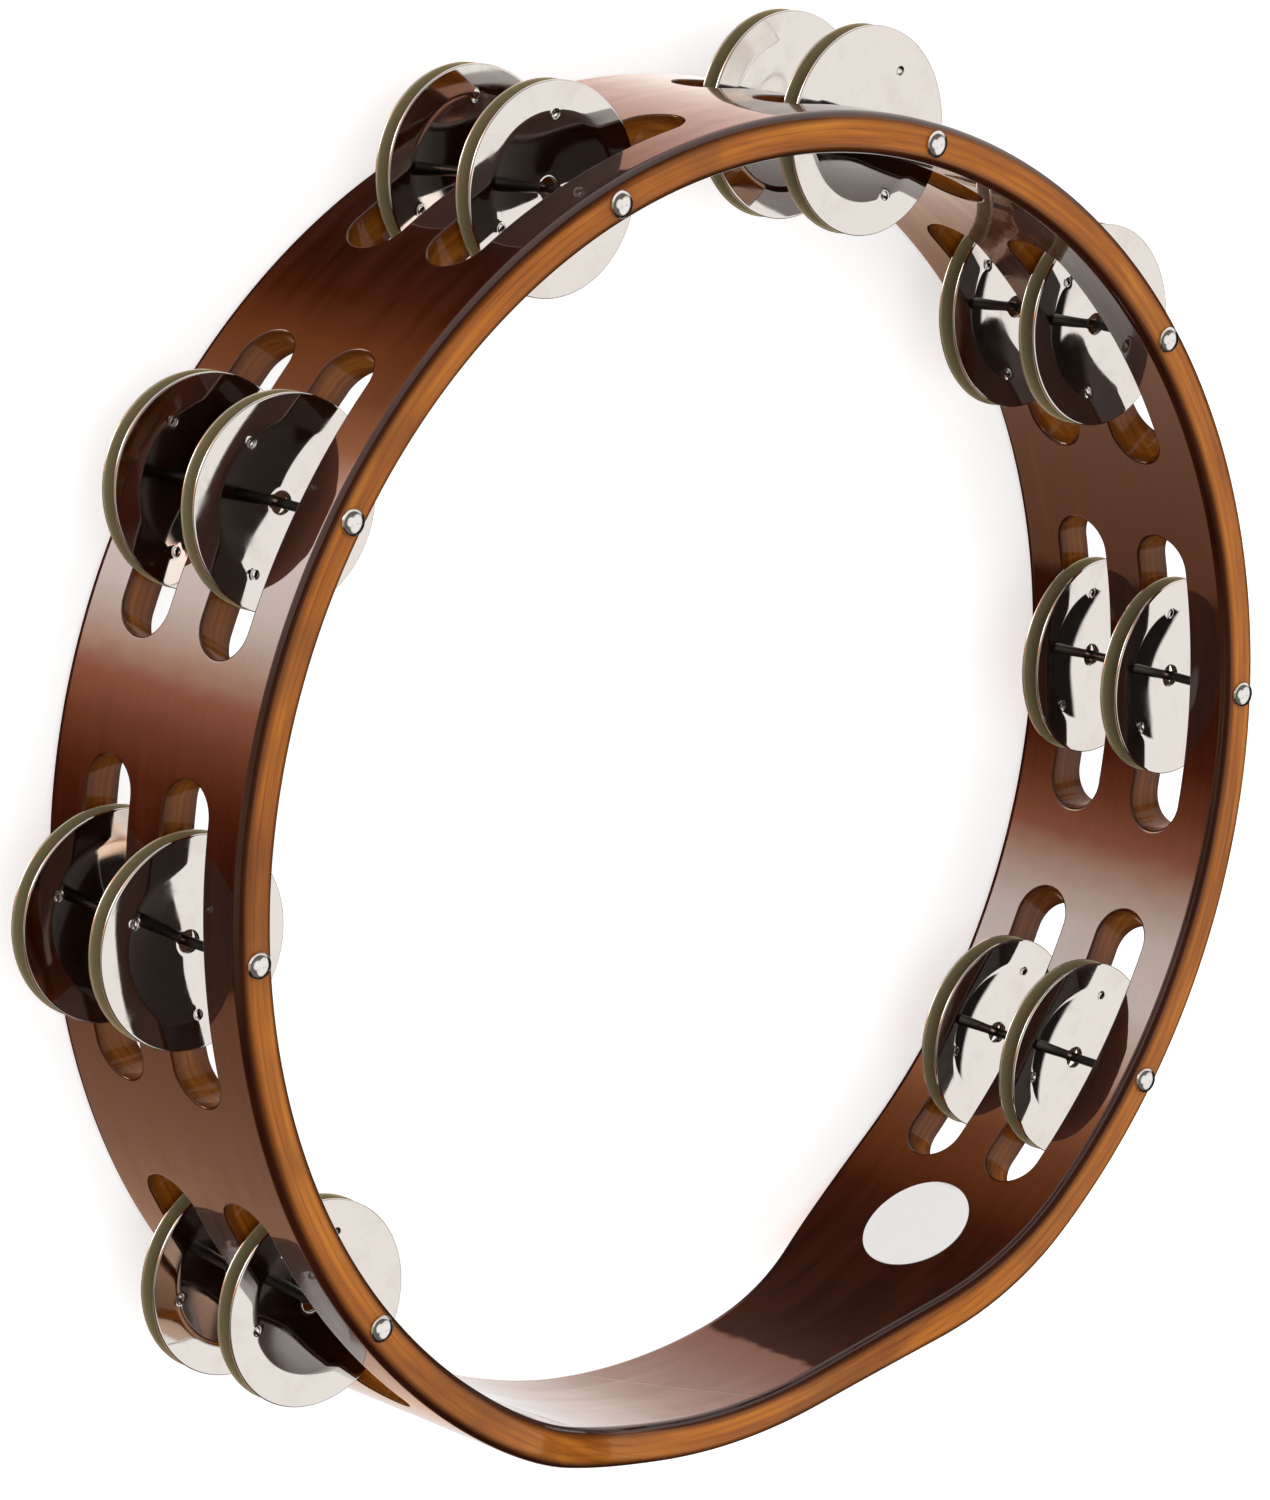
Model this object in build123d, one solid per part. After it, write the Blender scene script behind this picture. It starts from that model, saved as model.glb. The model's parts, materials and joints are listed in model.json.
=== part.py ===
from build123d import *
from math import asin, cos, degrees, hypot, radians, sin
import os

# A headless wooden tambourine with two rows of jingles.
#
# Frame of reference: the hoop lies flat on its back edge. Z is the hoop's axis, z = 0 is the plane of
# the back edge and the origin is the hoop's centre in that plane. The nail heads are on the front
# edge, which faces +Z. The grip is at -Y, and angles round the hoop are measured from +Y towards +X,
# which is clockwise as seen from the front. All sizes are in millimetres.

# ---- Hoop --------------------------------------------------------------------------------------
HOOP_DIAMETER = 254.0        # outside
HOOP_WALL = 7.7              # thickness of the bent plies
HOOP_WIDTH = 54.0            # back edge to front edge
EDGE_ROUND = 2.3             # rounding of the four long edges

# ---- Grip: both edges of the hoop are cut in, with two tangent arcs on each side -----------------
GRIP_CUT = 10.0              # depth of the cut from each edge
GRIP_FLAT = 40.0             # length of the narrowest part
GRIP_EASE = 55.0             # length over which each end of the cut runs out

# ---- Stations: each has one nail, a slot in each row, and a pair of jingles in each slot ---------
STATIONS = 8
STATION_PITCH = 36.5         # degrees
SLOT_WIDTH = 12.0
SLOT_LENGTH = 59.0
SLOT_EDGE_EASE = 0.4         # chamfer on the edges of each slot
RAIL_WIDTH = 9.3             # wood between the two rows of slots

# ---- Nails -------------------------------------------------------------------------------------
NAIL_DIAMETER = 1.8
NAIL_HEAD_DIAMETER = 5.0
NAIL_HEAD_HEIGHT = 1.4
NAIL_POINT_COVER = 4.0       # wood left between the nail's point and the back edge
NAIL_POINT_LENGTH = 2.5
NAIL_FIT = 0.02              # radial clearance of the nail in its pilot hole

# ---- Jingles -----------------------------------------------------------------------------------
JINGLE_DIAMETER = 38.6
JINGLE_SHEET = 0.6           # thickness of the sheet metal
JINGLE_HOLE_DIAMETER = 4.2
BOWL_DIAMETER = 27.6         # the dished middle
BOWL_DEPTH = 1.1
BOWL_FLOOR_DIAMETER = 7.0    # flat round the hole
BOWL_CREASE_ROUND = 8.0      # blend from the bowl to the flange
RIM_ROUND = 0.25
FLANGE_RISE = 0.25           # how far the flange opens from the bowl to the rim
DIMPLES = 3
DIMPLE_CIRCLE_DIAMETER = 26.4
DIMPLE_DIAMETER = 1.8
DIMPLE_DEPTH = 0.35
DIMPLE_TURN = 23.0           # degrees that each jingle is turned on from the one before it

PAIR_GAP = 0.12              # between the middles of the two jingles of a pair
WALL_GAP = 0.9               # from the back jingle's rim to the slot's wall, room to lean in

# Jingles hang tilted on their loose holes. These are the tilts of the stations' pairs, in degrees, each
# turning the front of the pair away from the middle of the hoop. They repeat if there are more stations.
LEANS = (3.0, 4.0, 5.0, 3.5, 2.5, 4.0, 6.5, 3.0)
ROW_LEAN = 0.5               # the front row leans this much less than the back row

# ---- Label: a blank round sticker inside the hoop, beside the grip -------------------------------
LABEL_DIAMETER = 22.0
LABEL_THICKNESS = 0.15
LABEL_ANGLE = 149.5
LABEL_OFFSET = 1.5           # towards the front edge from the middle of the hoop's width

# ---- Worked out from the above -----------------------------------------------------------------
OUTER_RADIUS = HOOP_DIAMETER / 2
INNER_RADIUS = OUTER_RADIUS - HOOP_WALL
NAIL_CIRCLE_RADIUS = OUTER_RADIUS - HOOP_WALL / 2
ROW_HEIGHTS = {
    "back": HOOP_WIDTH / 2 - (RAIL_WIDTH + SLOT_WIDTH) / 2,
    "front": HOOP_WIDTH / 2 + (RAIL_WIDTH + SLOT_WIDTH) / 2,
}
DISH_DEPTH = BOWL_DEPTH + FLANGE_RISE
PAIR_DEPTH = 2 * (DISH_DEPTH + JINGLE_SHEET) + PAIR_GAP
NAIL_LENGTH = HOOP_WIDTH - NAIL_POINT_COVER
PAST = 5.0                   # how far cutters run past what they cut
TOUCH = 0.01                 # two things closer than this are at the same place
SIDES = ("rear", "fore")     # the two jingles of a pair
STANDING = (Align.CENTER, Align.CENTER, Align.MIN)
HANGING = (Align.CENTER, Align.CENTER, Align.MAX)


def station_angle(station):
    """Angle of a station, counted from 1, clockwise from the one beside the grip."""
    return (station - (STATIONS + 1) / 2) * STATION_PITCH


def station_place(angle, radius, height):
    """A place on the hoop whose local X points outwards, local Y along the hoop and Z to the front."""
    turn = 90 - angle
    return Pos(radius * sin(radians(angle)), radius * cos(radians(angle)), height) * Rot(0, 0, turn)


def grip_cutter():
    """What is cut from the front edge at the grip, drawn in the XZ plane and run through the wall."""
    flat = GRIP_FLAT / 2
    end = flat + GRIP_EASE
    middle = (flat + end) / 2
    top = HOOP_WIDTH
    bottom = HOOP_WIDTH - GRIP_CUT
    half = HOOP_WIDTH - GRIP_CUT / 2
    with BuildSketch(Plane.XZ) as profile:
        with BuildLine():
            Line((0, bottom), (flat, bottom))
            rise = TangentArc((flat, bottom), (middle, half), tangent=(1, 0))
            TangentArc((middle, half), (end, top), tangent=rise % 1)
            Polyline((end, top), (end, top + PAST), (0, top + PAST), (0, bottom))
        make_face()
        mirror(about=Plane.YZ)
    return extrude(profile.sketch, OUTER_RADIUS + PAST)


def slot_cutter(angle, height):
    """One mortise, cut square to the hoop's wall at its station."""
    with BuildSketch(Plane.YZ) as outline:
        SlotOverall(SLOT_LENGTH, SLOT_WIDTH)
    bar = extrude(outline.sketch, HOOP_WALL + PAST, both=True)
    return station_place(angle, NAIL_CIRCLE_RADIUS, height) * bar


def on_hoop_surface(edge):
    """True for an edge that lies on the outside or the inside of the hoop."""
    middle = edge @ 0.5
    radius = hypot(middle.X, middle.Y)
    return min(abs(radius - OUTER_RADIUS), abs(radius - INNER_RADIUS)) < TOUCH


def is_long_edge(edge):
    """True for a stretch of the hoop's four long edges, but not for the seams across its width."""
    return on_hoop_surface(edge) and edge.bounding_box().size.Z < HOOP_WIDTH / 2


def is_slot_edge(edge):
    """True for an edge where a slot's wall meets the outside or the inside of the hoop."""
    box = edge.bounding_box()
    reach = SLOT_WIDTH / 2 + TOUCH
    in_row = any(box.min.Z > z - reach and box.max.Z < z + reach for z in ROW_HEIGHTS.values())
    return on_hoop_surface(edge) and in_row


def make_hoop():
    ring = Cylinder(OUTER_RADIUS, HOOP_WIDTH, align=STANDING)
    ring -= Cylinder(INNER_RADIUS, HOOP_WIDTH, align=STANDING)
    cutter = grip_cutter()
    ring -= cutter
    ring -= mirror(cutter, about=Plane.XY.offset(HOOP_WIDTH / 2))
    ring = fillet(ring.edges().filter_by(is_long_edge), EDGE_ROUND)
    for station in range(1, STATIONS + 1):
        for height in ROW_HEIGHTS.values():
            ring -= slot_cutter(station_angle(station), height)
    ring = chamfer(ring.edges().filter_by(is_slot_edge), SLOT_EDGE_EASE)
    pilot = Cylinder(NAIL_DIAMETER / 2 + NAIL_FIT, NAIL_LENGTH, align=HANGING)
    for station in range(1, STATIONS + 1):
        ring -= station_place(station_angle(station), NAIL_CIRCLE_RADIUS, HOOP_WIDTH) * pilot
    return ring


def make_nail(station):
    """A round nail with a domed head on the front edge and a point short of the back edge."""
    shank = NAIL_DIAMETER / 2
    head = NAIL_HEAD_DIAMETER / 2
    with BuildSketch(Plane.XZ) as profile:
        with BuildLine():
            side = Polyline(
                (0, NAIL_HEAD_HEIGHT),
                (0, -NAIL_LENGTH),
                (shank, NAIL_POINT_LENGTH - NAIL_LENGTH),
                (shank, 0),
                (head, 0),
            )
            TangentArc(side @ 0, side @ 1, tangent=(1, 0))
        make_face()
    nail = revolve(profile.sketch, Axis.Z)
    return station_place(station_angle(station), NAIL_CIRCLE_RADIUS, HOOP_WIDTH) * nail


def dished_sheet():
    """Half a section of a jingle in the XZ plane, with the outside of its bowl resting on z = 0."""
    hole = JINGLE_HOLE_DIAMETER / 2
    floor = BOWL_FLOOR_DIAMETER / 2
    crease = BOWL_DIAMETER / 2
    rim = JINGLE_DIAMETER / 2
    with BuildSketch(Plane.XZ) as profile:
        with BuildLine():
            for z in (0, JINGLE_SHEET):
                Line((hole, z), (floor, z))
                TangentArc((floor, z), (crease, z + BOWL_DEPTH), tangent=(1, 0))
                Line((crease, z + BOWL_DEPTH), (rim, z + DISH_DEPTH))
            Line((hole, 0), (hole, JINGLE_SHEET))
            Line((rim, DISH_DEPTH), (rim, DISH_DEPTH + JINGLE_SHEET))
        make_face()
        creases = [corner for corner in profile.vertices() if abs(corner.X - crease) < TOUCH]
        fillet(creases, BOWL_CREASE_ROUND)
        rims = [corner for corner in profile.vertices() if abs(corner.X - rim) < TOUCH]
        fillet(rims, RIM_ROUND)
    return profile.sketch


def dimple_places():
    """Places on the hollow face of a jingle's bowl, each with its local Z square to the sheet."""
    floor = BOWL_FLOOR_DIAMETER / 2
    run = BOWL_DIAMETER / 2 - floor
    sphere = (run**2 + BOWL_DEPTH**2) / (2 * BOWL_DEPTH)
    radius = DIMPLE_CIRCLE_DIAMETER / 2
    slope = asin((radius - floor) / sphere)
    height = JINGLE_SHEET + sphere * (1 - cos(slope))
    places = []
    for turn in range(DIMPLES):
        around = Rot(0, 0, turn * 360 / DIMPLES)
        places.append(around * Pos(radius, 0, height) * Rot(0, -degrees(slope), 0))
    return places


def make_jingle():
    """A jingle with its axis on Z, its hollow face up and its dimples punched from that face."""
    jingle = revolve(dished_sheet(), Axis.Z)
    sphere = ((DIMPLE_DIAMETER / 2) ** 2 + DIMPLE_DEPTH**2) / (2 * DIMPLE_DEPTH)
    lift = sphere - DIMPLE_DEPTH
    size = 2 * (sphere + JINGLE_SHEET)
    below = Pos(0, 0, -JINGLE_SHEET / 2) * Box(size, size, size, align=HANGING)
    bump = Pos(0, 0, lift) * Sphere(sphere + JINGLE_SHEET) & below
    hollow = Pos(0, 0, lift) * Sphere(sphere)
    for place in dimple_places():
        jingle += place * bump
        jingle -= place * hollow
    return jingle


def pair_place(station, row):
    """The middle of a pair of jingles at rest, with local Z along their leaning axis."""
    lean = LEANS[(station - 1) % len(LEANS)] - (ROW_LEAN if row == "front" else 0)
    height = ROW_HEIGHTS[row] - SLOT_WIDTH / 2 + WALL_GAP + PAIR_DEPTH / 2
    return station_place(station_angle(station), NAIL_CIRCLE_RADIUS, height) * Rot(0, lean, 0)


def jingle_place(station, row, side):
    """A jingle's place: the bowls of a pair face each other, and the rims stand apart."""
    before = (station * len(ROW_HEIGHTS) + list(ROW_HEIGHTS).index(row)) * len(SIDES) + SIDES.index(side)
    flip = 180 if side == "rear" else 0
    return pair_place(station, row) * Rot(flip, 0, before * DIMPLE_TURN) * Pos(0, 0, PAIR_GAP / 2)


def make_label():
    """A round sticker that follows the inside of the hoop."""
    shell = Cylinder(INNER_RADIUS, HOOP_WIDTH, align=STANDING)
    shell -= Cylinder(INNER_RADIUS - LABEL_THICKNESS, HOOP_WIDTH, align=STANDING)
    place = station_place(LABEL_ANGLE, INNER_RADIUS, HOOP_WIDTH / 2 + LABEL_OFFSET)
    return shell & place * Rot(0, 90, 0) * Cylinder(LABEL_DIAMETER / 2, HOOP_WALL)


def main():
    os.makedirs("parts", exist_ok=True)
    export_step(make_hoop(), "parts/hoop.step")
    export_step(make_label(), "parts/label.step")
    jingle = make_jingle()
    for station in range(1, STATIONS + 1):
        export_step(make_nail(station), f"parts/nail_{station}.step")
        for row in ROW_HEIGHTS:
            for side in SIDES:
                placed = jingle_place(station, row, side) * jingle
                export_step(placed, f"parts/jingle_{station}_{row}_{side}.step")


if __name__ == "__main__":
    main()
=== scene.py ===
import bmesh
import json
import math
import bpy
from mathutils import Matrix, Vector, noise


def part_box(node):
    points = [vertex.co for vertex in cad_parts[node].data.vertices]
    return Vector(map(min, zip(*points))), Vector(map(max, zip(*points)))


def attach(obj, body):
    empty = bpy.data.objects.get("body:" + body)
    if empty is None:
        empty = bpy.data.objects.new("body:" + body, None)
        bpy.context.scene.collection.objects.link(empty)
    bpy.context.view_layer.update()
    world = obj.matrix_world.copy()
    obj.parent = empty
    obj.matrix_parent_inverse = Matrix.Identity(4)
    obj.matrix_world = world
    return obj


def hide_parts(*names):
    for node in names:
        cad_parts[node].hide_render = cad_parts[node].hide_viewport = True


# A headless wooden tambourine. Metres, in the CAD frame: the hoop lies on its back edge at z = 0, with
# its axis on Z, its grip at -Y and the nail heads on the front edge.

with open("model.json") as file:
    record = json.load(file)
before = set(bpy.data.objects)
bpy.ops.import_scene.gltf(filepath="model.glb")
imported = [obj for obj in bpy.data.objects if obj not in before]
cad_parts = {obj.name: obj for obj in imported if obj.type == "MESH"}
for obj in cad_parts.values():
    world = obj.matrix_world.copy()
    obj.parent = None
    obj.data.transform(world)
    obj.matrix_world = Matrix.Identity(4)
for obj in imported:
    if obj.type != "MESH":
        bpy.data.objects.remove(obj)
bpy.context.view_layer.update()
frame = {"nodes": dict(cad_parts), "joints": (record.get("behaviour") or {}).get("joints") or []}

MM = 0.001
HOOP_RADIUS = 127.0 * MM
HOOP_WALL = 7.7 * MM
HOOP_WIDTH = 54.0 * MM
INNER_RADIUS = HOOP_RADIUS - HOOP_WALL
EDGE_ROUND = 2.3 * MM
GRIP_CUT = 10.0 * MM
GRIP_FLAT = 20.0 * MM        # from the middle of the grip to the end of its straight part
GRIP_END = 75.0 * MM         # from the middle of the grip to where the full width begins

STATIONS = range(1, 9)
PITCH = math.radians(36.5)
SLOT_HALF = 6.0 * MM         # half a slot's width, and the radius of its ends
SLOT_RUN = 23.5 * MM         # from a slot's middle to the centre of its round end
SLOT_ROUND = 0.5 * MM
ROW_HEIGHTS = (16.35 * MM, 37.65 * MM)
ROWS = ("back", "front")
SIDES = ("rear", "fore")

HOLE_RADIUS = 2.1 * MM
FLOOR_RADIUS = 3.5 * MM
BOWL_RADIUS = 13.8 * MM
RIM_RADIUS = 19.3 * MM
BOWL_DEPTH = 1.1 * MM
FLANGE_RISE = 0.25 * MM
SHEET = 0.6 * MM
PAIR_GAP = 0.12 * MM
DIMPLES = 3
DIMPLE_CIRCLE = 13.2 * MM
DIMPLE_RADIUS = 0.9 * MM
DIMPLE_DEPTH = 0.35 * MM
DIMPLE_LIP = 0.05 * MM       # the raised ring that the punch leaves round a dimple
RIM_WARP = 0.030 * MM        # how far two opposite sides of a rim rise and the other two sink
SHEET_RIPPLE = 0.012 * MM
RIPPLE_LENGTH = 7.0 * MM
DISC_TURN = 2.1              # radians from one disc's dimples to the next one's

NAIL_RADIUS = 0.9 * MM
NAIL_HEAD_RADIUS = 2.5 * MM
NAIL_HEAD_HEIGHT = 1.4 * MM
NAIL_LENGTH = 50.0 * MM
NAIL_POINT = 2.5 * MM

PLIES = 5.0
SCARF_OFFSET = 4.0 * MM      # from the grip's middle to the scarf joint, halfway up the hoop's width
SCARF_SLANT = 0.6            # how far the joint moves sideways for each unit of height
SLOTS_REACH = 17.0 * MM      # from the middle of the hoop's width to the slots' outer sides, and a bit over

CAMERA_PLACE = (-0.8146, 0.3526, 0.9048)
CAMERA_TARGET = (-0.0050, 0.0047, 0.0200)
CAMERA_ROLL = math.radians(-0.36)
LENS = 162.4
SENSOR = 36.0


# ---- Node helpers ------------------------------------------------------------------------------


class Nodes:
    """Builds a node tree with short calls. Inputs are given as socket=value or socket=another output."""

    def __init__(self, tree):
        self.tree = tree
        tree.nodes.clear()

    def new(self, kind, settings=None, **inputs):
        node = self.tree.nodes.new(kind)
        for key, value in (settings or {}).items():
            setattr(node, key, value)
        for key, value in inputs.items():
            self.put(node, key.replace("_", " "), value)
        return node

    def put(self, node, key, value):
        socket = node.inputs[int(key) if key.isdigit() else key]
        if isinstance(value, bpy.types.NodeSocket):
            self.tree.links.new(value, socket)
        else:
            socket.default_value = value

    def math(self, operation, *values):
        node = self.new("ShaderNodeMath", {"operation": operation})
        for i, value in enumerate(values):
            self.put(node, str(i), value)
        return node.outputs[0]

    def vector(self, operation, *values, out=0):
        node = self.new("ShaderNodeVectorMath", {"operation": operation})
        for i, value in enumerate(values):
            self.put(node, str(i), value)
        return node.outputs[out]

    def smooth(self, value, low, high, to_low=0.0, to_high=1.0):
        node = self.new("ShaderNodeMapRange", {"interpolation_type": "SMOOTHSTEP"})
        for key, item in zip(("Value", "From Min", "From Max", "To Min", "To Max"),
                             (value, low, high, to_low, to_high)):
            self.put(node, key, item)
        return node.outputs[0]

    def noise(self, vector, scale, detail=2.0, rough=0.5, distort=0.0):
        node = self.new("ShaderNodeTexNoise", Vector=vector, Scale=scale, Detail=detail,
                        Roughness=rough, Distortion=distort)
        return node.outputs["Fac"]

    def mix(self, factor, a, b, blend="MIX"):
        node = self.new("ShaderNodeMix", {"data_type": "RGBA", "blend_type": blend})
        for index, value in ((0, factor), (6, a), (7, b)):
            self.put(node, str(index), value)
        return node.outputs[2]

    def ramp(self, value, stops, interpolation="LINEAR"):
        node = self.new("ShaderNodeValToRGB", Fac=value)
        ramp = node.color_ramp
        ramp.interpolation = interpolation
        while len(ramp.elements) < len(stops):
            ramp.elements.new(0.5)
        for element, (at, colour) in zip(ramp.elements, stops):
            element.position = at
            element.color = (*colour, 1.0) if len(colour) == 3 else colour
        return node.outputs[0]


def new_material(name):
    material = bpy.data.materials.new(name)
    material.use_nodes = True
    return material, Nodes(material.node_tree)


def finish_material(n, shader):
    n.new("ShaderNodeOutputMaterial", Surface=shader.outputs[0])


# ---- Materials ---------------------------------------------------------------------------------


def wood_material():
    """Walnut-stained, steam-bent plies under gloss lacquer: dark on the faces, amber where the plies end."""
    material, n = new_material("walnut_lacquer")
    place = n.new("ShaderNodeTexCoord").outputs["Object"]
    x, y, z = n.new("ShaderNodeSeparateXYZ", Vector=place).outputs
    flat = n.new("ShaderNodeCombineXYZ", X=x, Y=y).outputs[0]
    radius = n.vector("LENGTH", flat, out=1)
    outward = n.vector("NORMALIZE", flat)
    normal = n.new("ShaderNodeNewGeometry").outputs["Normal"]
    tilt = n.new("ShaderNodeSeparateXYZ", Vector=normal).outputs[2]
    facing = n.math("ABSOLUTE", n.vector("DOT_PRODUCT", normal, outward, out=1))

    # fibres run round the hoop, so the pattern is long in X and Y and fine across the width and wall
    across = n.math("ADD", z, n.math("MULTIPLY", radius, 1.7))
    fine = n.new("ShaderNodeCombineXYZ", X=n.math("MULTIPLY", x, 0.03), Y=n.math("MULTIPLY", y, 0.03),
                 Z=across).outputs[0]
    broad = n.new("ShaderNodeCombineXYZ", X=n.math("MULTIPLY", x, 0.12), Y=n.math("MULTIPLY", y, 0.12),
                  Z=across).outputs[0]
    fibre = n.noise(fine, 1500.0, 4.0, 0.65)
    figure = n.noise(broad, 260.0, 3.0, 0.55, 0.4)
    cloud = n.noise(place, 22.0, 3.0, 0.6)

    stain = n.ramp(n.math("ADD", n.math("MULTIPLY", figure, 0.6), n.math("MULTIPLY", fibre, 0.4)), (
        (0.30, (0.009, 0.0011, 0.0003)),
        (0.47, (0.024, 0.0033, 0.0007)),
        (0.60, (0.037, 0.0058, 0.0012)),
        (0.78, (0.064, 0.0125, 0.0030)),
    ))
    stain = n.mix(n.smooth(cloud, 0.35, 0.7, 0.0, 0.35), stain, (0.014, 0.0019, 0.0005, 1.0))

    depth = n.math("DIVIDE", n.math("SUBTRACT", radius, INNER_RADIUS), HOOP_WALL)
    wander = n.math("MULTIPLY", n.math("SUBTRACT", n.noise(place, 30.0, 2.0), 0.5), 0.10)
    ply = n.math("FRACT", n.math("MULTIPLY", n.math("ADD", depth, wander), PLIES))
    ply_line = n.ramp(ply, (
        (0.0, (0.25, 0.25, 0.25)),
        (0.10, (0.85, 0.85, 0.85)),
        (0.50, (1.0, 1.0, 1.0)),
        (0.92, (0.80, 0.80, 0.80)),
        (1.0, (0.25, 0.25, 0.25)),
    ))
    end_grain = n.ramp(n.math("ADD", n.math("MULTIPLY", figure, 0.65), n.math("MULTIPLY", fibre, 0.35)), (
        (0.28, (0.190, 0.046, 0.003)),
        (0.45, (0.370, 0.105, 0.006)),
        (0.58, (0.490, 0.155, 0.010)),
        (0.76, (0.650, 0.245, 0.024)),
    ))
    end_grain = n.mix(0.45, end_grain, ply_line, "MULTIPLY")
    shoulder = n.smooth(n.math("ABSOLUTE", n.math("SUBTRACT", depth, 0.5)), 0.16, 0.44)
    end_grain = n.mix(n.math("MULTIPLY", shoulder, 0.75), end_grain, (0.110, 0.028, 0.005, 1.0))
    end_grain = n.mix(n.smooth(cloud, 0.50, 0.68, 0.0, 0.55), end_grain, (0.120, 0.034, 0.006, 1.0))

    # the cut edges of the plies take the stain thinly, and the slots' walls more than the hoop's edges; the
    # slot walls that face down, towards the back edge, also get painted shade that takes them nearly to black
    ragged = n.math("MULTIPLY", n.math("SUBTRACT", fibre, 0.5), 0.35)
    is_face = n.smooth(n.math("ADD", facing, ragged), 0.25, 0.75)
    off_middle = n.math("ABSOLUTE", n.math("SUBTRACT", z, HOOP_WIDTH / 2))
    mid_width = n.smooth(off_middle, SLOTS_REACH, SLOTS_REACH + 1.0 * MM, 1.0, 0.0)
    off_grip = n.smooth(y, -96.0 * MM, -94.0 * MM)
    in_slot = n.math("MULTIPLY", mid_width, off_grip)
    # slot walls take more stain; those that face down, towards the back edge, take the full mix, which is
    # painted shade, and the mask below joins this with the stain on the faces
    slot_stain_and_painted_shade = n.math("MULTIPLY", in_slot, n.smooth(tilt, -0.7, -0.2, 1.0, 0.45))
    stained = n.math("MAXIMUM", is_face, slot_stain_and_painted_shade)
    colour = n.mix(stained, end_grain, stain)
    # painted shade: the down-facing slot walls darkened nearly to black
    colour = n.mix(n.smooth(slot_stain_and_painted_shade, 0.5, 1.0, 0.0, 0.7), colour, (0.004, 0.0010, 0.0003, 1.0))

    # the hoop's ends meet in a scarf joint, which shows as a slanting hairline across the grip
    slant = n.math("SUBTRACT", n.math("ADD", x, SCARF_OFFSET),
                   n.math("MULTIPLY", n.math("SUBTRACT", z, HOOP_WIDTH / 2), SCARF_SLANT))
    hairline = n.smooth(n.math("ABSOLUTE", slant), 0.1 * MM, 0.5 * MM, 1.0, 0.0)
    hairline = n.math("MULTIPLY", hairline, n.math("LESS_THAN", y, -90.0 * MM))

    grain_bump = n.new("ShaderNodeBump", Strength=0.25, Distance=0.00003, Height=fibre).outputs[0]
    ripple = n.math("SUBTRACT", n.noise(place, 170.0, 1.0, 0.4), n.math("MULTIPLY", hairline, 0.5))
    coat_bump = n.new("ShaderNodeBump", Strength=0.6, Distance=0.00006, Height=ripple).outputs[0]
    rough = n.smooth(figure, 0.3, 0.7, 0.34, 0.50)
    coat = n.math("ADD", n.math("MULTIPLY", is_face, 0.6), 0.4)
    shader = n.new("ShaderNodeBsdfPrincipled", Base_Color=colour, Roughness=rough, Normal=grain_bump,
                   Coat_Weight=coat, Coat_Roughness=0.02, Coat_IOR=1.52, Coat_Normal=coat_bump)
    shader.inputs["Specular IOR Level"].default_value = 0.18
    shader.inputs["Specular Tint"].default_value = (1.0, 0.36, 0.18, 1.0)
    finish_material(n, shader)
    return material


def nickel_material():
    """Bright nickel plate with the faint turned lines and haze of a polished stamping. The sides that
    face each other in a pair are plated but not polished, and look duller and more yellow."""
    material, n = new_material("polished_nickel")
    coordinates = n.new("ShaderNodeTexCoord")
    place = coordinates.outputs["Object"]
    tilt = n.new("ShaderNodeSeparateXYZ", Vector=coordinates.outputs["Normal"]).outputs[2]
    inside = n.smooth(tilt, -0.6, -0.2, 1.0, 0.0)
    x, y, z = n.new("ShaderNodeSeparateXYZ", Vector=place).outputs
    radius = n.vector("LENGTH", n.new("ShaderNodeCombineXYZ", X=x, Y=y).outputs[0], out=1)
    rings = n.noise(n.new("ShaderNodeCombineXYZ", X=n.math("MULTIPLY", x, 0.02),
                          Y=n.math("MULTIPLY", y, 0.02), Z=radius).outputs[0], 3500.0, 3.0, 0.6)
    haze = n.noise(place, 160.0, 4.0, 0.6)
    smudge = n.smooth(haze, 0.48, 0.72)
    colour = n.mix(n.math("MULTIPLY", smudge, 0.5), (0.83, 0.80, 0.765, 1.0), (0.75, 0.70, 0.64, 1.0))
    rough = n.math("ADD", n.math("MULTIPLY", smudge, 0.06), n.math("MULTIPLY", rings, 0.05))
    rough = n.math("ADD", rough, n.math("MULTIPLY", inside, 0.30))
    rough = n.math("ADD", rough, 0.015)
    colour = n.mix(inside, colour, (0.42, 0.36, 0.21, 1.0))
    metal = n.smooth(inside, 0.0, 1.0, 1.0, 0.5)
    bump = n.new("ShaderNodeBump", Strength=0.08, Distance=0.00001, Height=rings).outputs[0]
    shader = n.new("ShaderNodeBsdfPrincipled", Base_Color=colour, Metallic=metal, Roughness=rough,
                   Normal=bump)
    finish_material(n, shader)
    return material


def nail_material():
    """Polished head; the shank below it is duller, and its colour is darkened nearly to black as painted
    shade for the slots it runs through.
    """
    material, n = new_material("nail_steel_polished")
    place = n.new("ShaderNodeTexCoord").outputs["Object"]
    z = n.new("ShaderNodeSeparateXYZ", Vector=place).outputs[2]
    shank = n.smooth(z, -0.0002, 0.0)
    haze = n.noise(place, 900.0, 3.0, 0.6)
    head = n.mix(n.smooth(haze, 0.45, 0.7), (0.86, 0.85, 0.83, 1.0), (0.74, 0.72, 0.69, 1.0))
    # painted shade: the shank's colour is set nearly black, for the shade in the slots it runs through
    drawn = n.mix(haze, (0.06, 0.055, 0.05, 1.0), (0.16, 0.15, 0.14, 1.0))
    colour = n.mix(shank, drawn, head)
    rough = n.math("ADD", n.smooth(z, -0.0002, 0.0, 0.30, 0.10), n.math("MULTIPLY", haze, 0.08))
    shader = n.new("ShaderNodeBsdfPrincipled", Base_Color=colour, Metallic=1.0, Roughness=rough)
    finish_material(n, shader)
    return material


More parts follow.
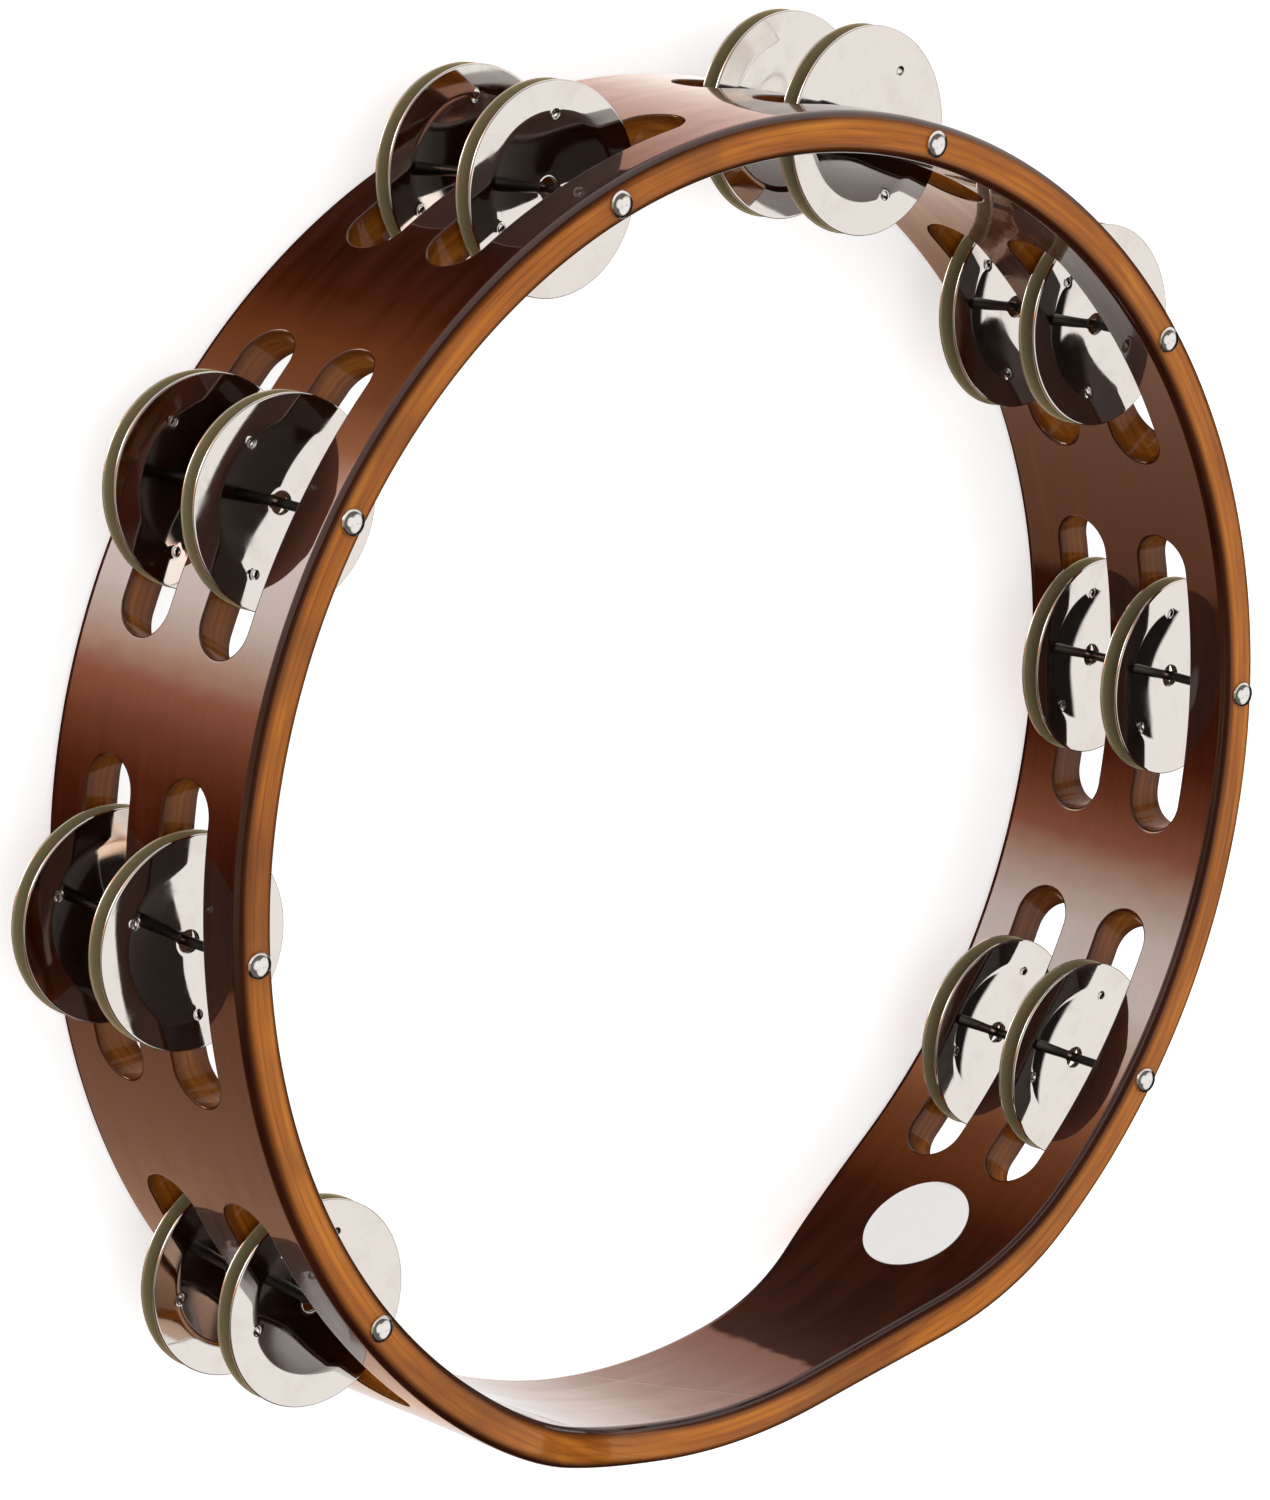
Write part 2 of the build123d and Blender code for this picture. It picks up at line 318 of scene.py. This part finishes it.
def label_material():
    """Blank coated paper."""
    material, n = new_material("blank_label")
    place = n.new("ShaderNodeTexCoord").outputs["Object"]
    fibre = n.noise(place, 1400.0, 4.0, 0.6)
    colour = n.mix(fibre, (0.87, 0.86, 0.85, 1.0), (0.94, 0.935, 0.925, 1.0))
    bump = n.new("ShaderNodeBump", Strength=0.2, Distance=0.00002, Height=fibre).outputs[0]
    rough = n.smooth(fibre, 0.3, 0.7, 0.30, 0.42)
    shader = n.new("ShaderNodeBsdfPrincipled", Base_Color=colour, Roughness=rough, Normal=bump)
    finish_material(n, shader)
    return material


# ---- Turned pieces -----------------------------------------------------------------------------


def spread(start, end, count):
    """Evenly spaced values from start up to but not including end."""
    return [start + (end - start) * i / count for i in range(count)]


def turned_mesh(name, profile, angles, shift=None):
    """A closed profile of (radius, z) turned about Z. shift(radius, angle, z) moves points along Z."""
    rows = len(profile)
    verts = []
    for angle in angles:
        for radius, z in profile:
            rise = shift(radius, angle, z) if shift else 0.0
            verts.append((radius * math.cos(angle), radius * math.sin(angle), z + rise))
    faces = []
    for i in range(len(angles)):
        here = i * rows
        there = ((i + 1) % len(angles)) * rows
        for j in range(rows):
            k = (j + 1) % rows
            faces.append((here + j, there + j, there + k, here + k))
    mesh = bpy.data.meshes.new(name)
    mesh.from_pydata(verts, [], faces)
    mesh.polygons.foreach_set("use_smooth", [True] * len(faces))
    return mesh


BOWL_SPHERE = ((BOWL_RADIUS - FLOOR_RADIUS) ** 2 + BOWL_DEPTH**2) / (2 * BOWL_DEPTH)
CREASE_REACH = 0.7 * MM


def dish(radius):
    """Height of the sheet: flat round the hole, then a bowl, then a flange that opens a little more."""
    if radius < FLOOR_RADIUS:
        return 0.0
    if radius < BOWL_RADIUS:
        return BOWL_SPHERE - math.sqrt(BOWL_SPHERE**2 - (radius - FLOOR_RADIUS) ** 2)
    return BOWL_DEPTH + FLANGE_RISE * (radius - BOWL_RADIUS) / (RIM_RADIUS - BOWL_RADIUS)


def soft_dish(radius):
    """The dish with its crease eased."""
    steps = 8
    reach = [radius + CREASE_REACH * (2 * i / steps - 1) for i in range(steps + 1)]
    return sum(dish(r) for r in reach) / len(reach)


def jingle_profile():
    edge = SHEET / 2
    near = DIMPLE_CIRCLE - 1.2 * MM
    far = DIMPLE_CIRCLE + 1.2 * MM
    radii = spread(HOLE_RADIUS + 0.1 * MM, near, 16) + spread(near, far, 20)
    radii += spread(far, RIM_RADIUS - 0.8 * MM, 10)
    radii += spread(RIM_RADIUS - 0.8 * MM, RIM_RADIUS - 0.25 * MM, 3)
    top = [(r, soft_dish(r) + SHEET) for r in radii]
    bottom = [(r, soft_dish(r)) for r in radii]
    centre = RIM_RADIUS - 0.28 * MM
    middle = soft_dish(centre) + edge
    turns = [math.pi / 2 - math.pi * i / 10 for i in range(11)]
    rim = [(centre + 0.28 * MM * math.cos(t), middle + edge * math.sin(t)) for t in turns]
    hole = [(HOLE_RADIUS + 0.03 * MM, 0.03 * MM), (HOLE_RADIUS, 0.1 * MM),
            (HOLE_RADIUS, SHEET - 0.1 * MM), (HOLE_RADIUS + 0.03 * MM, SHEET - 0.03 * MM)]
    return top + rim + bottom[::-1] + hole


def jingle_angles():
    """Fine steps across each dimple and wider ones between them."""
    sector = 2 * math.pi / DIMPLES
    reach = math.radians(5.5)
    angles = []
    for i in range(DIMPLES):
        middle = i * sector
        angles += spread(middle - reach, middle + reach, 22)
        angles += spread(middle + reach, middle + sector - reach, 34)
    return angles


def make_jingle(seed):
    """A pressed disc with three punched dimples and the slight unevenness of thin sheet."""
    sphere = (DIMPLE_RADIUS**2 + DIMPLE_DEPTH**2) / (2 * DIMPLE_DEPTH)
    spots = [2 * math.pi * i / DIMPLES for i in range(DIMPLES)]
    centres = [(DIMPLE_CIRCLE * math.cos(a), DIMPLE_CIRCLE * math.sin(a)) for a in spots]
    lean = seed * 1.3
    shift_by = Vector((seed * 3.1, seed * 7.7, seed * 1.9))

    def shift(radius, angle, z):
        x = radius * math.cos(angle)
        y = radius * math.sin(angle)
        share = radius / RIM_RADIUS
        rise = RIM_WARP * share**2 * math.cos(2 * (angle - lean))
        rise += SHEET_RIPPLE * noise.noise(Vector((x, y, 0.0)) / RIPPLE_LENGTH + shift_by)
        for cx, cy in centres:
            away = math.hypot(x - cx, y - cy)
            pit = math.sqrt(max(sphere**2 - away**2, 0.0)) - (sphere - DIMPLE_DEPTH)
            lip = DIMPLE_LIP * math.exp(-((away - 1.08 * DIMPLE_RADIUS) / (0.22 * MM)) ** 2)
            rise += lip - max(pit, 0.0)
        return rise

    return turned_mesh(f"jingle_{seed}", jingle_profile(), jingle_angles(), shift)


def make_nail():
    """A round nail: a low domed head with a rounded edge, a drawn shank and a short point."""
    dome = []
    for i in range(14):
        t = i / 14
        r = max(0.02 * MM, NAIL_HEAD_RADIUS * 0.97 * t)
        z = NAIL_HEAD_HEIGHT * math.sqrt(1 - (r / (NAIL_HEAD_RADIUS * 1.03)) ** 2)
        dome.append((r, z))
    edge = [(NAIL_HEAD_RADIUS, 0.30 * MM), (NAIL_HEAD_RADIUS, 0.12 * MM),
            (NAIL_HEAD_RADIUS - 0.08 * MM, 0.02 * MM)]
    neck = [(NAIL_RADIUS + 0.15 * MM, 0.0), (NAIL_RADIUS, -0.15 * MM)]
    shank = [(NAIL_RADIUS, -0.15 * MM - (NAIL_LENGTH - NAIL_POINT) * i / 8) for i in range(1, 9)]
    point = [(0.02 * MM, -NAIL_LENGTH)]
    profile = dome + edge + neck + shank + point
    return turned_mesh("nail", profile, spread(0.0, 2 * math.pi, 48))


# ---- Hoop --------------------------------------------------------------------------------------


class Skin:
    """Points with their own normals, joined where they meet, and the faces between them."""

    def __init__(self):
        self.index, self.points, self.normals, self.faces = {}, [], [], []

    def add(self, point, normal):
        key = tuple(round(c * 1e7) for c in point)
        if key not in self.index:
            self.index[key] = len(self.points)
            self.points.append(tuple(point))
            self.normals.append(tuple(Vector(normal).normalized()))
        return self.index[key]

    def grid(self, rows):
        for low, high in zip(rows, rows[1:]):
            for i in range(len(low) - 1):
                corners = []
                for corner in (low[i], low[i + 1], high[i + 1], high[i]):
                    if corner not in corners:
                        corners.append(corner)
                if len(corners) > 2:
                    self.faces.append(corners)

    def mesh(self, name):
        mesh = bpy.data.meshes.new(name)
        mesh.from_pydata(self.points, [], self.faces)
        work = bmesh.new()
        work.from_mesh(mesh)
        bmesh.ops.recalc_face_normals(work, faces=work.faces)
        work.to_mesh(mesh)
        work.free()
        mesh.polygons.foreach_set("use_smooth", [True] * len(mesh.polygons))
        mesh.normals_split_custom_set_from_vertices(self.normals)
        return mesh


def grip_depth(x):
    """How far each edge of the hoop is cut in at a distance x from the middle of the grip."""
    middle = (GRIP_FLAT + GRIP_END) / 2
    run = GRIP_END - middle
    arc = (run**2 + (GRIP_CUT / 2) ** 2) / GRIP_CUT
    x = abs(x)
    if x <= GRIP_FLAT:
        return GRIP_CUT
    if x <= middle:
        return GRIP_CUT - arc + math.sqrt(arc**2 - (x - GRIP_FLAT) ** 2)
    if x <= GRIP_END:
        return arc - math.sqrt(arc**2 - (GRIP_END - x) ** 2)
    return 0.0


def edge_height(radius, angle, front):
    """Height of the hoop's front or back edge at a point of its wall."""
    depth = grip_depth(radius * math.sin(angle)) if math.cos(angle) < 0 else 0.0
    return HOOP_WIDTH - depth if front else depth


def on_ring(radius, angle, z):
    return Vector((radius * math.sin(angle), radius * math.cos(angle), z))


def slot_outline():
    """Points round a slot, from its lower right corner. Each holds the offset of its arc's centre, its
    direction from there, and where the mesh line through it meets the border of the station's cell, as
    an angle and a share of the cell's height."""
    half = PITCH / 2
    flat = math.asin(SLOT_RUN / HOOP_RADIUS)
    quarter = math.pi / 4
    ends, turns, runs = 24, 12, 24
    outline = []
    for flip in (1, -1):
        for i in range(ends):
            share = i / ends
            outline.append((flip * SLOT_RUN, (2 * share - 1) * quarter, flip * half, share))
        for i in range(turns):
            share = i / turns
            border = half + (flat - half) * share
            outline.append((flip * SLOT_RUN, (1 + share) * quarter, flip * border, 1.0))
        for i in range(runs):
            across = SLOT_RUN * (1 - 2 * i / runs)
            outline.append((flip * across, 2 * quarter, flip * math.asin(across / HOOP_RADIUS), 1.0))
        for i in range(turns):
            share = i / turns
            border = flat + (half - flat) * share
            outline.append((-flip * SLOT_RUN, (2 + share) * quarter, -flip * border, 1.0))
    count = len(outline) // 2
    for i in range(count, 2 * count):
        across, turn, angle, share = outline[i]
        outline[i] = (across, turn + math.pi, angle, 1.0 - share)
    return outline


OUTLINE = slot_outline()
HALF_HEIGHT = HOOP_WIDTH / 2


def cell_height(radius, angle, row, share):
    """Height of a station's cell border, a share of the way from its low side to its high side."""
    low = edge_height(radius, angle, False) + EDGE_ROUND if row == 0 else HALF_HEIGHT
    high = HALF_HEIGHT if row == 0 else edge_height(radius, angle, True) - EDGE_ROUND
    return low + (high - low) * share


def add_cell(skin, station_angle, row):
    """The outside, the inside and the walls of one slot, out to the border of its half of the cell."""
    middle = ROW_HEIGHTS[row]
    out = Vector((math.sin(station_angle), math.cos(station_angle), 0.0))
    along = Vector((math.cos(station_angle), -math.sin(station_angle), 0.0))
    up = Vector((0.0, 0.0, 1.0))
    shares = (0.0, 0.22, 0.48, 0.74, 1.0)
    bends = [math.pi / 2 * i / 5 for i in range(6)]
    loop = OUTLINE + OUTLINE[:1]
    for radius, side in ((HOOP_RADIUS, 1), (INNER_RADIUS, -1)):
        rows = []
        for share in shares:
            ring = []
            for centre, turn, border, height in loop:
                across = centre + (SLOT_HALF + SLOT_ROUND) * math.cos(turn)
                low = math.asin(across / radius)
                rise = middle + (SLOT_HALF + SLOT_ROUND) * math.sin(turn)
                angle = station_angle + low + (border - low) * share
                top = cell_height(radius, station_angle + border, row, height)
                point = on_ring(radius, angle, rise + (top - rise) * share)
                ring.append(skin.add(point, on_ring(side, angle, 0.0)))
            rows.append(ring)
        skin.grid(rows)

    def wall_point(centre, turn, radius, side, bend):
        away = SLOT_HALF + SLOT_ROUND * (1 - math.sin(bend))
        across = centre + away * math.cos(turn)
        reach = math.sqrt(radius**2 - across**2) - side * SLOT_ROUND * (1 - math.cos(bend))
        point = out * reach + along * across + up * (middle + away * math.sin(turn))
        level = Vector((point.x, point.y, 0.0)).normalized() * side
        inward = -(along * math.cos(turn) + up * math.sin(turn))
        return point, level * math.cos(bend) + inward * math.sin(bend)

    rows = [[skin.add(*wall_point(c, t, HOOP_RADIUS, 1, b)) for c, t, _, _ in loop] for b in bends]
    for share in (0.25, 0.5, 0.75):
        ring = []
        for c, t, _, _ in loop:
            outer, inward = wall_point(c, t, HOOP_RADIUS, 1, math.pi / 2)
            inner, _ = wall_point(c, t, INNER_RADIUS, -1, math.pi / 2)
            ring.append(skin.add(outer.lerp(inner, share), inward))
        rows.append(ring)
    rows += [[skin.add(*wall_point(c, t, INNER_RADIUS, -1, b)) for c, t, _, _ in loop] for b in bends[::-1]]
    skin.grid(rows)


def add_grip(skin, angles):
    """The stretch with no slots, where both edges are cut in."""
    rows_each = 24
    for radius, side in ((HOOP_RADIUS, 1), (INNER_RADIUS, -1)):
        rows = []
        for angle in angles:
            heights = [cell_height(radius, angle, row, i / rows_each) for row in (0, 1)
                       for i in range(rows_each + row)]
            rows.append([skin.add(on_ring(radius, angle, z), on_ring(side, angle, 0.0)) for z in heights])
        skin.grid(rows)


def add_edges(skin, angles):
    """The front and back edges with their rounded corners."""
    bends = [math.pi / 2 * i / 9 for i in range(10)]
    flats = (0.25, 0.5, 0.75)
    outer_flat, inner_flat = HOOP_RADIUS - EDGE_ROUND, INNER_RADIUS + EDGE_ROUND
    for front in (True, False):
        sign = 1 if front else -1
        rows = []
        for angle in angles:
            section = [(HOOP_RADIUS - EDGE_ROUND * (1 - math.cos(b)), b, 1) for b in bends]
            section += [(outer_flat + (inner_flat - outer_flat) * share, math.pi / 2, 1) for share in flats]
            section += [(INNER_RADIUS + EDGE_ROUND * (1 - math.cos(b)), b, -1) for b in bends[::-1]]
            line = []
            for radius, bend, side in section:
                top = edge_height(radius, angle, front)
                step = 0.1 * MM / radius
                slope = edge_height(radius, angle + step, front) - edge_height(radius, angle - step, front)
                slope /= 2 * step * radius
                tangent = Vector((math.cos(angle), -math.sin(angle), 0.0))
                square = (Vector((0.0, 0.0, 1.0)) - tangent * slope).normalized() * sign
                normal = on_ring(side, angle, 0.0) * math.cos(bend) + square * math.sin(bend)
                z = top - sign * EDGE_ROUND * (1 - math.sin(bend))
                line.append(skin.add(on_ring(radius, angle, z), normal))
            rows.append(line)
        skin.grid(rows)


def build_hoop(material):
    """The wooden hoop as a fine mesh whose normals are those of the true surfaces."""
    skin = Skin()
    centres = [(station - 4.5) * PITCH for station in STATIONS]
    for centre in centres:
        for row in (0, 1):
            add_cell(skin, centre, row)
    start = centres[-1] + PITCH / 2
    finish = centres[0] - PITCH / 2 + 2 * math.pi
    steps = 60
    grip = [start + (finish - start) * i / steps for i in range(steps + 1)]
    add_grip(skin, grip)
    border = {round(angle, 9) for _, _, angle, share in OUTLINE if share == 1.0}
    border = sorted(border | {round(PITCH / 2, 9)})
    angles = [centre + angle for centre in centres for angle in border[:-1]] + grip
    angles.append(angles[0] + 2 * math.pi)
    add_edges(skin, angles)
    piece = add_piece("hoop_wood", skin.mesh("hoop_wood"), Matrix.Identity(4), material)
    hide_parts("hoop")
    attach(piece, "hoop_body")


def add_piece(name, mesh, matrix, material):
    piece = bpy.data.objects.new(name, mesh)
    bpy.context.scene.collection.objects.link(piece)
    piece.matrix_world = matrix
    if not mesh.materials:
        mesh.materials.append(material)
    return piece


def turned_to(axis, twist):
    """A rotation that carries Z to axis, after a turn by twist about Z."""
    return axis.to_track_quat("Z", "Y").to_matrix().to_4x4() @ Matrix.Rotation(twist, 4, "Z")


def build_jingles(material):
    """Each pair stands on its spin joint's point and axis, with the bowls of the pair facing each other."""
    joints = {joint["name"]: joint for joint in frame["joints"]}
    seed = 0
    for station in STATIONS:
        for row in ROWS:
            joint = joints[f"spin_{station}_{row}"]
            middle = Vector(joint["pos_m"])
            axis = Vector(joint["axis"])
            for side in SIDES:
                seed += 1
                facing = axis if side == "fore" else -axis
                node = f"jingle_{station}_{row}_{side}"
                matrix = Matrix.Translation(middle + facing * PAIR_GAP / 2)
                matrix = matrix @ turned_to(facing, seed * DISC_TURN)
                piece = add_piece(f"disc_{station}_{row}_{side}", make_jingle(seed), matrix, material)
                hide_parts(node)
                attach(piece, node)


def build_nails(material):
    mesh = make_nail()
    for station in STATIONS:
        low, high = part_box(f"nail_{station}")
        place = Vector(((low.x + high.x) / 2, (low.y + high.y) / 2, HOOP_WIDTH))
        piece = add_piece(f"tack_{station}", mesh, Matrix.Translation(place), material)
        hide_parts(f"nail_{station}")
        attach(piece, "hoop_body")


def dress(node, material):
    """Gives a CAD node its material, and true normals across its joined triangles."""
    piece = frame["nodes"][node]
    piece.data.materials.clear()
    piece.data.materials.append(material)
    weld = piece.modifiers.new("weld", "WELD")
    weld.merge_threshold = 0.000001
    shade = piece.modifiers.new("normals", "WEIGHTED_NORMAL")
    shade.mode = "FACE_AREA"
    shade.weight = 100
    shade.keep_sharp = False


build_jingles(nickel_material())
build_nails(nail_material())
build_hoop(wood_material())
dress("label", label_material())


# ---- Floor, light and camera -------------------------------------------------------------------


def make_floor():
    size = 6.0
    mesh = bpy.data.meshes.new("floor")
    corners = [(-size, -size, 0), (size, -size, 0), (size, size, 0), (-size, size, 0)]
    mesh.from_pydata(corners, [], [(0, 1, 2, 3)])
    floor = bpy.data.objects.new("floor", mesh)
    bpy.context.scene.collection.objects.link(floor)
    material, n = new_material("pale_floor")
    shader = n.new("ShaderNodeBsdfPrincipled", Base_Color=(0.86, 0.86, 0.86, 1.0), Roughness=0.9,
                   Emission_Color=(1.0, 1.0, 1.0, 1.0), Emission_Strength=0.55)
    finish_material(n, shader)
    mesh.materials.append(material)
    floor.visible_glossy = False


def make_world():
    """White studio panels as the polished surfaces see them: tall banks of light with dark gaps between.
    Diffuse surfaces are lit by an even white sky instead."""
    world = bpy.data.worlds.new("studio")
    bpy.context.scene.world = world
    world.use_nodes = True
    n = Nodes(world.node_tree)
    way = n.new("ShaderNodeTexCoord").outputs["Generated"]
    x, y, z = n.new("ShaderNodeSeparateXYZ", Vector=way).outputs
    turn = n.math("ARCTAN2", x, y)
    around = n.math("ADD", n.math("DIVIDE", turn, 2 * math.pi), 0.5)

    def by_azimuth(stops):
        return n.ramp(around, [((angle + 180) / 360, colour) for angle, colour in stops])

    # below the horizon: warm light thrown up by the floor, in tenths of its real strength
    black = (0.0, 0.0, 0.0)
    low = by_azimuth((
        (-180, (0.110, 0.062, 0.040)), (-161, (0.105, 0.055, 0.035)), (-126, (0.100, 0.045, 0.024)),
        (-123, black), (-104, (0.012, 0.002, 0.0)), (-93, (0.050, 0.010, 0.003)), (-85, (0.14, 0.042, 0.018)),
        (-77, (0.30, 0.105, 0.060)), (-70, (0.54, 0.39, 0.30)), (-62, (0.76, 0.67, 0.62)),
        (-50, (0.90, 0.80, 0.75)), (-40, (0.72, 0.50, 0.40)), (-31, (0.34, 0.13, 0.06)),
        (-21, (0.15, 0.052, 0.020)), (-12, (0.10, 0.028, 0.006)), (-3, (0.018, 0.004, 0.0)), (6, black),
        (41, black), (42, (0.155, 0.078, 0.055)), (58, (0.152, 0.098, 0.081)), (71, (0.157, 0.113, 0.096)),
        (83, (0.168, 0.140, 0.128)), (107, (0.120, 0.118, 0.118)), (125, (0.090, 0.088, 0.088)),
        (140, (0.120, 0.088, 0.070)),
        (165, (0.115, 0.070, 0.048)), (180, (0.110, 0.062, 0.040)),
    ))
    low = n.vector("SCALE", low)
    low.node.inputs["Scale"].default_value = 10.0

    # near the horizon: a bright wall beyond the top of the hoop, an olive one at its left, and the dark
    # of the room elsewhere
    white, olive, dark = (0.95, 0.92, 0.895), (0.42, 0.38, 0.27), (0.010, 0.008, 0.007)
    wall = by_azimuth(((-180, dark), (-125, dark), (-100, olive), (-75, olive), (-60, white), (72, white),
                       (86, dark), (180, dark)))
    # overhead: a wide soft box in front of the hoop and a smaller one straight above it
    drift = n.math("MULTIPLY", n.math("SUBTRACT", n.noise(way, 2.2, 1.0), 0.5), 0.12)
    box = n.smooth(n.vector("DOT_PRODUCT", way, (0.62, -0.26, 0.74), out=1), 0.79, 0.83)
    box = n.math("MAXIMUM", box, n.smooth(z, 0.91, 0.94))
    high = n.mix(box, (0.13, 0.12, 0.11, 1.0), (*white, 1.0))
    seen = n.mix(n.smooth(z, -0.60, -0.54), low, wall)
    seen = n.mix(n.smooth(z, -0.84, -0.79), (*dark, 1.0), seen)
    seen = n.mix(n.smooth(n.math("ADD", z, drift), 0.36, 0.40), seen, high)
    glossy = n.new("ShaderNodeLightPath").outputs["Is Glossy Ray"]
    colour = n.mix(glossy, (1.0, 0.99, 0.98, 1.0), seen)
    background = n.new("ShaderNodeBackground", Color=colour, Strength=1.0)
    n.new("ShaderNodeOutputWorld", Surface=background.outputs[0])


def make_camera():
    """Looks at the hoop from the front and the left, a little above the middle, with +Y up."""
    place = Vector(CAMERA_PLACE)
    back = (place - Vector(CAMERA_TARGET)).normalized()
    right = Vector((0, 1, 0)).cross(back).normalized()
    up = back.cross(right)
    turn = Matrix((right, up, back)).transposed().to_4x4() @ Matrix.Rotation(CAMERA_ROLL, 4, "Z")
    data = bpy.data.cameras.new("camera")
    data.lens = LENS
    data.sensor_width = SENSOR
    data.sensor_fit = "AUTO"
    camera = bpy.data.objects.new("camera", data)
    bpy.context.scene.collection.objects.link(camera)
    camera.matrix_world = Matrix.Translation(place) @ turn
    bpy.context.scene.camera = camera


make_floor()
make_world()
make_camera()
bpy.context.scene.view_settings.view_transform = "Standard"
